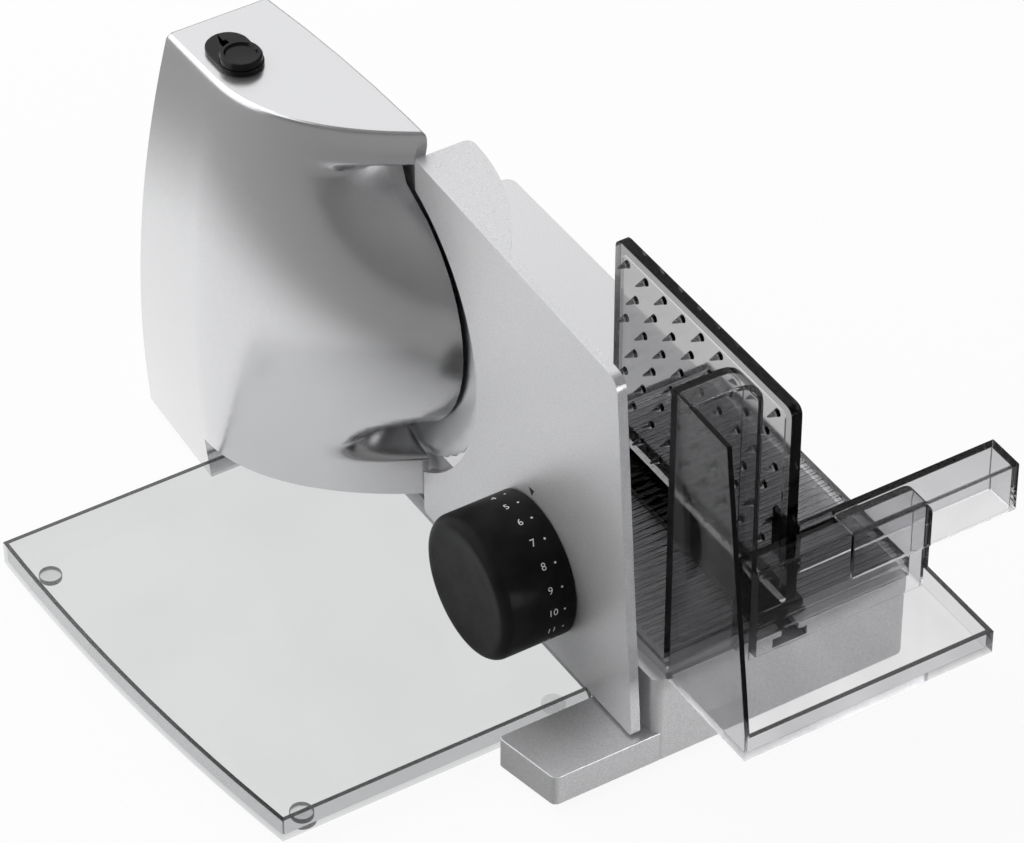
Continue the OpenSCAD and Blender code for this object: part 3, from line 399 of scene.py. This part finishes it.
def make_finishes():
    """Every finish by the record's slot name, and those that only some pieces wear."""
    return {
        "silver": silver_paint("satin_silver", 0.6, 0.36, 0.07, 0.13, 1.06),
        "bright_silver": silver_paint("bright_silver", 0.85, 0.21, 0.05, 0.05, 1.0),
        "smoke": smoked_plastic("smoked_plastic", 62.0),
        "deep_smoke": smoked_plastic("deep_smoked_plastic", 105.0),
        "clear": clear_plastic(),
        "clear_feet": clear_pads(),
        "black_plastic": black_moulding(),
        "gloss_black": gloss_black(),
        "dark_plastic": dark_moulding(),
        "rubber": rubber(),
        "steel": turned_metal("plain_steel", (0.50, 0.50, 0.51), (0.62, 0.62, 0.63), 0.24),
        "zinc": turned_metal("zinc_plate", (0.46, 0.47, 0.48), (0.56, 0.57, 0.58), 0.34),
        "bronze": turned_metal("bush_bronze", (0.42, 0.27, 0.12), (0.52, 0.35, 0.17), 0.36),
        "copper": turned_metal("wound_copper", (0.46, 0.20, 0.10), (0.60, 0.29, 0.15), 0.30),
        "ferrite": turned_metal("ferrite_grey", (0.05, 0.05, 0.05), (0.09, 0.09, 0.09), 0.6),
        "blade_steel": ground_steel(),
        "nylon": nylon(),
        "print_white": print_white(),
        "print_black": print_black(),
    }


def finish_of(name):
    """A finish by its name, made once."""
    if not FINISHES:
        FINISHES.update(make_finishes())
    return FINISHES[name]


# Mesh helpers


def slot_of(node):
    """Material slot of a part in the record."""
    for part in frame["record"]["subparts"]:
        if part["node"] == node:
            return part["material_slot"]
    raise RuntimeError(f"no material slot for {node}")


def body_of(node):
    """Body that a part moves with."""
    for body, members in frame["record"]["behaviour"]["bodies"].items():
        if node in members:
            return body
    raise RuntimeError(f"no body for {node}")


def place(bm, name, body, finish):
    """Makes the mesh a piece that rides on a body in a finish."""
    mesh = bpy.data.meshes.new(name)
    bm.to_mesh(mesh)
    bm.free()
    piece = bpy.data.objects.new(name, mesh)
    bpy.context.scene.collection.objects.link(piece)
    mesh.materials.append(finish_of(finish))
    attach(piece, body)
    return piece


def merged_copy(node, flat):
    """A copy of a part's mesh with its doubles merged and its flat faces joined."""
    bm = bmesh.new()
    bm.from_mesh(NODES[node].data)
    bmesh.ops.remove_doubles(bm, verts=bm.verts, dist=0.002 * MM)
    bmesh.ops.dissolve_limit(
        bm,
        angle_limit=math.radians(flat),
        verts=bm.verts,
        edges=bm.edges,
        use_dissolve_boundaries=False,
    )
    return bm


def sharp_edges(bm, angle, keep):
    """Edges that turn by more than an angle, and pass a test of their middle."""
    found = []
    for edge in bm.edges:
        if len(edge.link_faces) != 2 or edge.calc_face_angle(0.0) < math.radians(angle):
            continue
        if keep is None or keep((edge.verts[0].co + edge.verts[1].co) / 2):
            found.append(edge)
    return found


def end_faces(bm, width):
    """Narrow faces between two sharp edges: the ends of the walls."""
    found = []
    steep = math.radians(60.0)
    for face in bm.faces:
        sharp = sum(e.calc_length() for e in face.edges if e.calc_face_angle(0.0) > steep)
        around = face.calc_perimeter()
        if sharp > 0.7 * around and 2.0 * face.calc_area() / around < width:
            found.append(face)
    return found


def round_edges(bm, edges, width, segments):
    """Bevels edges and gives the new faces."""
    made = bmesh.ops.bevel(
        bm,
        geom=edges,
        offset=width,
        offset_type="OFFSET",
        affect="EDGES",
        segments=segments,
        profile=0.5,
        material=-1,
        clamp_overlap=True,
    )
    return made["faces"]


def smooth_shade(bm):
    """Smooth faces, with hard edges kept hard."""
    hard = math.radians(SHADING_CORNER)
    for face in bm.faces:
        face.smooth = True
    for edge in bm.edges:
        edge.smooth = len(edge.link_faces) == 2 and edge.calc_face_angle(0.0) < hard


def even_normals(piece):
    """Lets the large faces set the shading at rounded edges."""
    modifier = piece.modifiers.new("Even normals", "WEIGHTED_NORMAL")
    modifier.keep_sharp = True
    modifier.weight = 50
    return piece


def dressed(
    node,
    name,
    width=0.0,
    angle=CORNER,
    keep=None,
    segments=3,
    flat=0.4,
    finish=None,
    dark=None,
    shape=None,
):
    """A part's copy with rounded edges, which stands for the part.

    keep tells which edges are rounded, shape changes the copy first, and dark tells from a face and
    the mark found on it how much painted shade the face gets at its edge.
    """
    bm = merged_copy(node, flat)
    if shape:
        shape(bm)
    # Painted shade: wall ends and rounded edges are marked here, and the finish darkens them.
    mark = bm.faces.layers.float.new("edge") if dark else None
    for face in end_faces(bm, THIN_WALL) if dark else []:
        face[mark] = 0.6
    rounds = []
    if width > 0.0:
        rounds = round_edges(bm, sharp_edges(bm, angle, keep), width, segments)
    for face in rounds if dark else []:
        face[mark] = 1.0
    for face in bm.faces if dark else []:
        face[mark] = dark(face, face[mark])
    smooth_shade(bm)
    piece = place(bm, name, body_of(node), finish or slot_of(node))
    even_normals(piece)
    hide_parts(node)


def spun(profile, axis_point, name, body, finish):
    """A closed profile of (along X, radius) turned about an axis along X."""
    bm = bmesh.new()
    verts = [bm.verts.new((x, axis_point.y + r, axis_point.z)) for x, r in profile]
    edges = [bm.edges.new((a, b)) for a, b in zip(verts, verts[1:] + verts[:1])]
    bmesh.ops.spin(
        bm,
        geom=verts + edges,
        cent=axis_point,
        axis=(1.0, 0.0, 0.0),
        angle=math.tau,
        steps=96,
        use_merge=True,
        use_duplicate=False,
    )
    bmesh.ops.remove_doubles(bm, verts=bm.verts, dist=0.004 * MM)
    bmesh.ops.recalc_face_normals(bm, faces=bm.faces)
    smooth_shade(bm)
    return even_normals(place(bm, name, body, finish))


def arc(cx, cr, radius, start, end, steps):
    """Points of (along X, radius) round a corner, by angle in degrees."""
    return [
        (cx + radius * math.cos(math.radians(a)), cr + radius * math.sin(math.radians(a)))
        for a in (start + (end - start) * i / steps for i in range(steps + 1))
    ]


def text_mesh(words, height):
    """Flat lettering as a bmesh in the XY plane, centred on the origin."""
    curve = bpy.data.curves.new("numeral", "FONT")
    curve.body = words
    curve.size = height / CAP_SHARE
    curve.align_x = "CENTER"
    curve.align_y = "CENTER"
    holder = bpy.data.objects.new("numeral", curve)
    bpy.context.scene.collection.objects.link(holder)
    bpy.context.view_layer.update()
    shown = holder.evaluated_get(bpy.context.evaluated_depsgraph_get())
    mesh = bpy.data.meshes.new_from_object(shown)
    bm = bmesh.new()
    bm.from_mesh(mesh)
    bpy.data.objects.remove(holder)
    bpy.data.curves.remove(curve)
    bpy.data.meshes.remove(mesh)
    return bm


# Pieces


class SLICER_OT_housing(bpy.types.Operator):
    """Motor housing in bright silver, and the switch on its roof"""

    bl_idname = "slicer.housing"
    bl_label = "Motor housing"

    def execute(self, context):
        dressed("motor_housing", "housing_shell", flat=0.05, finish="bright_silver")
        black = "gloss_black"
        dressed("switch_plate", "switch_oval", SWITCH_EDGE, SWITCH_CORNER, finish=black)
        dressed("switch_button", "switch_cap", SMALL_EDGE, SWITCH_CORNER, finish=black)
        return {"FINISHED"}


class SLICER_OT_base(bpy.types.Operator):
    """Base with soft outer edges on its deck and toe"""

    bl_idname = "slicer.base"
    bl_label = "Base"

    def execute(self, context):
        low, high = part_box("base_housing")
        deck_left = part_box("base_cover")[0].x - 3.4 * MM
        corner = 5.2 * MM
        toe_depth = 40.0 * MM
        clear = 1.0 * MM

        def outer(p):
            top = p.z > high.z - HAIR
            side = min(p.y - low.y, high.y - p.y, high.x - p.x) < corner
            left = abs(p.x - deck_left) < HAIR
            toe = p.x < deck_left - clear and p.y < low.y + toe_depth and p.z > low.z + clear
            return (top and (side or left)) or toe

        dressed("base_housing", "base_shell", sizes().base_edge, CORNER, outer)
        return {"FINISHED"}


class SLICER_OT_stop(bpy.types.Operator):
    """Stop plate with a rounded outline, and the pointer printed on it"""

    bl_idname = "slicer.stop"
    bl_label = "Stop plate"

    def execute(self, context):
        edge = sizes().plate_edge
        dressed("stop_plate", "stop_panel", edge, CORNER, shape=self.hood_corner)
        self.pointer()
        return {"FINISHED"}

    def hood_corner(self, bm):
        """Rounds the hood's back corner, the upright edge furthest from the plate."""
        reach = max(vert.co.x for vert in bm.verts)
        upright = [
            edge
            for edge in bm.edges
            if min(v.co.x for v in edge.verts) > reach - 1.0 * MM
            and abs(edge.verts[0].co.z - edge.verts[1].co.z) > 0.75 * edge.calc_length()
        ]
        corner = max(upright, key=lambda edge: edge.verts[0].co.y)
        round_edges(bm, [corner], sizes().hood_round, 6)

    def pointer(self):
        """Small triangle that points at the knob's scale."""
        knob_low, knob_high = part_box("setting_knob")
        centre = (knob_low + knob_high) / 2
        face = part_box("stop_plate")[0].x
        radius = (knob_high.z - knob_low.z) / 2
        turn = math.radians(POINTER_TURN)
        gap = 1.2 * MM
        out = Vector((0.0, math.cos(turn), math.sin(turn)))
        along = Vector((0.0, -math.sin(turn), math.cos(turn)))
        tip = Vector((face - sizes().mark_lift, centre.y, centre.z)) + out * (radius + gap)
        half, height = sizes().pointer_width / 2, sizes().pointer_height
        bm = bmesh.new()
        ends = (tip, tip + out * height + along * half, tip + out * height - along * half)
        bm.faces.new([bm.verts.new(end) for end in ends])
        bmesh.ops.recalc_face_normals(bm, faces=bm.faces)
        for printed in bm.faces:
            if printed.normal.x > 0:
                printed.normal_flip()
        place(bm, "scale_pointer", "stop", "print_black")


class SLICER_OT_knob(bpy.types.Operator):
    """Knob with a soft front edge, and its printed scale"""

    bl_idname = "slicer.knob"
    bl_label = "Setting knob"

    def execute(self, context):
        low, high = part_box("setting_knob")
        centre = (low + high) / 2
        radius = (high.z - low.z) / 2
        front, back = low.x, high.x
        corner = 5.0 * MM
        inner = radius - 6.0 * MM
        wall = front + 5.0 * MM
        hub, bore = 8.0 * MM, 4.05 * MM
        dish, dish_flat, dish_rim = 0.5 * MM, radius - 12.0 * MM, radius - 8.0 * MM
        chamfer = 0.5 * MM
        profile = [(front + dish, 0.0), (front + dish, dish_flat), (front + HAIR, dish_rim)]
        profile += arc(front + corner, radius - corner, corner, 180.0, 90.0, 8)
        profile += [(back - chamfer, radius), (back, radius - chamfer)]
        profile += [(back, inner), (wall, inner), (wall, hub), (back, hub)]
        profile += [(back, bore), (wall, bore), (wall, 0.0)]
        knob = spun(profile, centre, "knob_cup", "knob", "black_plastic")
        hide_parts("setting_knob")
        self.scale(centre, radius, back)
        return {"FINISHED"}

    def scale(self, centre, radius, back):
        """Numerals and dots, wrapped on the knob's side."""
        s = sizes()
        step = math.radians(SCALE_STEP)
        first = math.radians(SHOWN_TURN - (SHOWN_NUMBER - 1) * SCALE_STEP)
        marks = bmesh.new()
        skin = radius + s.mark_lift
        for number in range(1, SCALE_LAST + 1):
            turn = first + step * (number - 1)
            for bm, x in (
                (text_mesh(str(number), s.numeral_height), back - s.numeral_back),
                (self.dot(s.dot_radius), back - s.dot_back),
            ):
                self.wrap(bm, x, turn, centre, radius, skin)
                holder = bpy.data.meshes.new("mark")
                bm.to_mesh(holder)
                bm.free()
                marks.from_mesh(holder)
                bpy.data.meshes.remove(holder)
        bmesh.ops.remove_doubles(marks, verts=marks.verts, dist=0.001 * MM)
        for face in marks.faces:
            middle = face.calc_center_median() - centre
            if face.normal.dot(Vector((0.0, middle.y, middle.z))) < 0:
                face.normal_flip()
            face.smooth = True
        place(marks, "knob_scale", "knob", "print_white")

    def wrap(self, bm, x, turn, centre, radius, skin):
        """Bends a flat mark round the knob, at a place along it and a turn about it."""
        bmesh.ops.triangulate(bm, faces=bm.faces)
        long_edges = [edge for edge in bm.edges if edge.calc_length() > 1.2 * MM]
        bmesh.ops.subdivide_edges(bm, edges=long_edges, cuts=1, use_grid_fill=True)
        for vert in bm.verts:
            a = turn - vert.co.y / radius
            y, z = centre.y + skin * math.cos(a), centre.z + skin * math.sin(a)
            vert.co = Vector((x + vert.co.x, y, z))

    def dot(self, radius):
        """Flat round dot on the origin."""
        bm = bmesh.new()
        bmesh.ops.create_circle(bm, cap_ends=True, segments=12, radius=radius)
        return bm


class SLICER_OT_carriage(bpy.types.Operator):
    """Smoked carriage and pusher, and the tray, with soft moulded edges and painted shade on their
    edges and spikes
    """

    bl_idname = "slicer.carriage"
    bl_label = "Carriage, pusher and tray"

    def execute(self, context):
        edge = sizes().clear_edge
        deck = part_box("slide_shoe")[1].z
        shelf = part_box("carriage")[0].z
        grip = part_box("pusher_handle")[0].z
        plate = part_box("pusher_plate")[0].x + 4.0 * MM
        tray_low, tray_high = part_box("tray")
        rim = tray_high.z
        tray_middle = (tray_low.x + tray_high.x) / 2

        def on_carriage(p):
            return p.z > deck + 6.0 * MM or shelf + 2.0 * MM < p.z < deck + 1.0 * MM

        # Painted shade, as marks read by the finish: lighter low on the shelf and the grip, strong
        # on the spikes, only on the tray's rim, and round the left pads' sides.
        def paler_shelf(face, found):
            return found * (0.3 if face.calc_center_median().z < shelf + 5.0 * MM else 1.0)

        def paler_grip(face, found):
            return found * (0.25 if face.calc_center_median().z < grip + 4.0 * MM else 1.0)

        def dark_spikes(face, found):
            return 0.9 if face.calc_center_median().x < plate - 0.6 * MM else found

        def rim_only(face, found):
            return 1.0 if found > 0.0 and face.calc_center_median().z > rim - 1.0 * MM else 0.0

        def left_sides(face, found):
            outer = face.calc_center_median().x < tray_middle
            return 1.0 if outer and abs(face.normal.z) < 0.6 else 0.0

        for node, name, keep, dark, finish in (
            ("carriage", "carriage_shell", on_carriage, paler_shelf, None),
            ("pusher_handle", "handle_shell", None, paler_grip, None),
            ("pusher_plate", "spike_plate", lambda p: p.x > plate, dark_spikes, "deep_smoke"),
            ("tray", "tray_shell", lambda p: p.z > rim - 2.0 * MM, rim_only, None),
            ("tray_feet", "tray_pads", None, left_sides, None),
        ):
            dressed(node, name, edge, MOULDED_CORNER, keep, 2, finish=finish, dark=dark)
        return {"FINISHED"}


class SLICER_OT_blade(bpy.types.Operator):
    """Blade with its ground faces and waved edge"""

    bl_idname = "slicer.blade"
    bl_label = "Blade"

    def execute(self, context):
        dressed("blade", "blade_disc")
        dressed("blade_hub", "blade_seat", SMALL_EDGE, TURNED_CORNER)
        dressed("blade_lock", "blade_screw", SMALL_EDGE, TURNED_CORNER)
        return {"FINISHED"}


class SLICER_OT_finishes(bpy.types.Operator):
    """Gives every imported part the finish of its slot"""

    bl_idname = "slicer.finishes"
    bl_label = "Finishes"

    def execute(self, context):
        for node, part in NODES.items():
            part.data.materials.clear()
            part.data.materials.append(finish_of(slot_of(node)))
        return {"FINISHED"}


def shared_rays(tree, rays, parts):
    """Adds up the shares of white of the kinds of ray."""
    share = None
    for ray, part in zip(WHITE_RAYS, parts):
        step = tree.nodes.new("ShaderNodeMath")
        step.operation = "MULTIPLY_ADD"
        step.use_clamp = True
        step.inputs[1].default_value = part
        step.inputs[2].default_value = 0.0
        tree.links.new(rays.outputs[ray], step.inputs[0])
        if share:
            tree.links.new(share, step.inputs[2])
        share = step.outputs[0]
    return share


class SLICER_OT_stage(bpy.types.Operator):
    """Camera at the photograph's angle, plain floor and soft studio light"""

    bl_idname = "slicer.stage"
    bl_label = "Stage"

    def execute(self, context):
        scene = context.scene
        scene.view_settings.view_transform = "Standard"
        self.camera(scene)
        self.floor(scene)
        self.world(scene)
        self.lamps(scene)
        return {"FINISHED"}

    def camera(self, scene):
        """Long lens; the aim point is seen at its pixel of the photograph."""
        azimuth, elevation, roll = (math.radians(a) for a in (AZIMUTH, ELEVATION, ROLL))
        aim = Vector([c * MM for c in AIM])
        distance = FOCAL / PIXELS_PER_MM * MM
        level = math.cos(elevation)
        back = Vector((
            math.sin(azimuth) * level, -math.cos(azimuth) * level, math.sin(elevation)
        ))
        right = Vector((0.0, 0.0, 1.0)).cross(back).normalized()
        up = back.cross(right)
        side = right * math.cos(roll) + up * math.sin(roll)
        top = up * math.cos(roll) - right * math.sin(roll)
        across = (AIM_PIXEL[0] - IMAGE_WIDTH / 2) * distance / FOCAL
        down = (AIM_PIXEL[1] - IMAGE_HEIGHT / 2) * distance / FOCAL
        data = bpy.data.cameras.new("photo_camera")
        data.lens = FOCAL * SENSOR_WIDTH / IMAGE_WIDTH
        data.sensor_width = SENSOR_WIDTH
        data.clip_end = 50.0
        camera = bpy.data.objects.new("photo_camera", data)
        scene.collection.objects.link(camera)
        place_at = aim - side * across + top * down + back * distance
        turn = Matrix((side, top, back)).transposed().to_4x4()
        camera.matrix_world = Matrix.Translation(place_at) @ turn
        scene.camera = camera

    def floor(self, scene):
        """Wide plain floor just under the feet."""
        bm = bmesh.new()
        bmesh.ops.create_grid(bm, x_segments=2, y_segments=2, size=6.0)
        bmesh.ops.translate(bm, verts=bm.verts, vec=(0.0, 0.0, -0.2 * MM))
        mesh = bpy.data.meshes.new("studio_floor")
        bm.to_mesh(mesh)
        bm.free()
        floor = bpy.data.objects.new("studio_floor", mesh)
        scene.collection.objects.link(floor)
        mesh.materials.append(self.floor_finish())

    def floor_finish(self):
        """Pale floor that takes the shadow, and that some rays are shown as white, with a painted
        pool of light that reflections see brighter near the tray and darker further off.
        """
        f = Finish("studio_floor").set(Roughness=0.9, Specular_IOR_Level=0.1)
        base = tuple(colours().floor)
        f.tone(f.noise(3.0, 2.0), shade(base, 0.995), base)
        rays = f.node("ShaderNodeLightPath")
        glow = f.node("ShaderNodeEmission")
        glow.inputs["Color"].default_value = (1.0, 1.0, 1.0, 1.0)
        # Painted reflection: to glossy rays the floor glows brighter near a place behind the tray
        # and darker away from it.
        reach = f.node("ShaderNodeVectorMath", operation="DISTANCE")
        reach.inputs[1].default_value = PAINTED_POOL_PLACE
        f.link(f.coord.outputs["Object"], reach.inputs[0])
        painted_pool = f.node("ShaderNodeMapRange", clamp=True)
        for socket, value in PAINTED_POOL_FADE.items():
            painted_pool.inputs[socket].default_value = value
        f.link(reach.outputs["Value"], painted_pool.inputs["Value"])
        mirrored = f.node("ShaderNodeMath", operation="MINIMUM")
        mirrored.inputs[1].default_value = 1.0
        f.link(rays.outputs["Glossy Depth"], mirrored.inputs[0])
        level = f.node("ShaderNodeMath", operation="MULTIPLY_ADD")
        level.inputs[2].default_value = 1.0
        f.link(mirrored.outputs[0], level.inputs[0])
        f.link(painted_pool.outputs["Result"], level.inputs[1])
        f.link(level.outputs[0], glow.inputs["Strength"])
        mix = f.node("ShaderNodeMixShader")
        f.link(shared_rays(f.tree, rays, FLOOR_SHARES), mix.inputs["Fac"])
        f.link(f.shader.outputs["BSDF"], mix.inputs[1])
        f.link(glow.outputs["Emission"], mix.inputs[2])
        f.link(mix.outputs["Shader"], f.tree.nodes["Material Output"].inputs["Surface"])
        return f.material

    def world(self, scene):
        """Dim grey room, a little lighter overhead, that some rays are shown as white."""
        world = bpy.data.worlds.new("studio")
        scene.world = world
        world.use_nodes = True
        tree = world.node_tree
        coord = tree.nodes.new("ShaderNodeTexCoord")
        split = tree.nodes.new("ShaderNodeSeparateXYZ")
        ramp = tree.nodes.new("ShaderNodeValToRGB")
        for element, place_at, level in zip(ramp.color_ramp.elements, (0.0, 0.9), (0.16, 0.5)):
            element.position = place_at
            element.color = (level, level, level, 1.0)
        tree.links.new(coord.outputs["Generated"], split.inputs["Vector"])
        tree.links.new(split.outputs["Z"], ramp.inputs["Fac"])
        room = tree.nodes["Background"]
        room.inputs["Strength"].default_value = 0.4
        tree.links.new(ramp.outputs["Color"], room.inputs["Color"])
        sweep = tree.nodes.new("ShaderNodeBackground")
        sweep.inputs["Color"].default_value = (1.0, 1.0, 1.0, 1.0)
        mix = tree.nodes.new("ShaderNodeMixShader")
        rays = tree.nodes.new("ShaderNodeLightPath")
        tree.links.new(shared_rays(tree, rays, ROOM_SHARES), mix.inputs["Fac"])
        tree.links.new(room.outputs["Background"], mix.inputs[1])
        tree.links.new(sweep.outputs["Background"], mix.inputs[2])
        tree.links.new(mix.outputs["Shader"], tree.nodes["World Output"].inputs["Surface"])

    def lamps(self, scene):
        """Soft boxes, all aimed at the slicer."""
        for name, spot, size, power in LAMPS:
            data = bpy.data.lights.new(name, "AREA")
            data.shape = "RECTANGLE"
            data.size, data.size_y = size
            data.energy = power
            lamp = bpy.data.objects.new(name, data)
            lamp.location = spot
            aim = Vector(LAMP_AIM) - Vector(spot)
            lamp.rotation_euler = aim.to_track_quat("-Z", "Y").to_euler()
            scene.collection.objects.link(lamp)


PIECES = (
    SLICER_OT_stage,
    SLICER_OT_finishes,
    SLICER_OT_housing,
    SLICER_OT_base,
    SLICER_OT_stop,
    SLICER_OT_knob,
    SLICER_OT_carriage,
    SLICER_OT_blade,
)


class SLICER_PT_panel(bpy.types.Panel):
    """Lists the slicer's pieces and their settings."""

    bl_idname = "SLICER_PT_panel"
    bl_label = "Slicer"
    bl_space_type = "VIEW_3D"
    bl_region_type = "UI"
    bl_category = "Slicer"

    def draw(self, context):
        column = self.layout.column()
        for piece in PIECES:
            column.operator(piece.bl_idname)
        for group in (context.scene.slicer_sizes, context.scene.slicer_colours):
            for key in group.__annotations__:
                column.prop(group, key)


CLASSES = (SlicerSizes, SlicerColours, *PIECES, SLICER_PT_panel)


def register():
    for cls in CLASSES:
        bpy.utils.register_class(cls)
    bpy.types.Scene.slicer_sizes = bpy.props.PointerProperty(type=SlicerSizes)
    bpy.types.Scene.slicer_colours = bpy.props.PointerProperty(type=SlicerColours)


def unregister():
    del bpy.types.Scene.slicer_colours
    del bpy.types.Scene.slicer_sizes
    for cls in reversed(CLASSES):
        bpy.utils.unregister_class(cls)


def main():
    """Dresses the slicer."""
    register()
    bpy.ops.slicer.stage()
    bpy.ops.slicer.finishes()
    bpy.ops.slicer.housing()
    bpy.ops.slicer.base()
    bpy.ops.slicer.stop()
    bpy.ops.slicer.knob()
    bpy.ops.slicer.carriage()
    bpy.ops.slicer.blade()


if __name__ == "__main__":
    main()
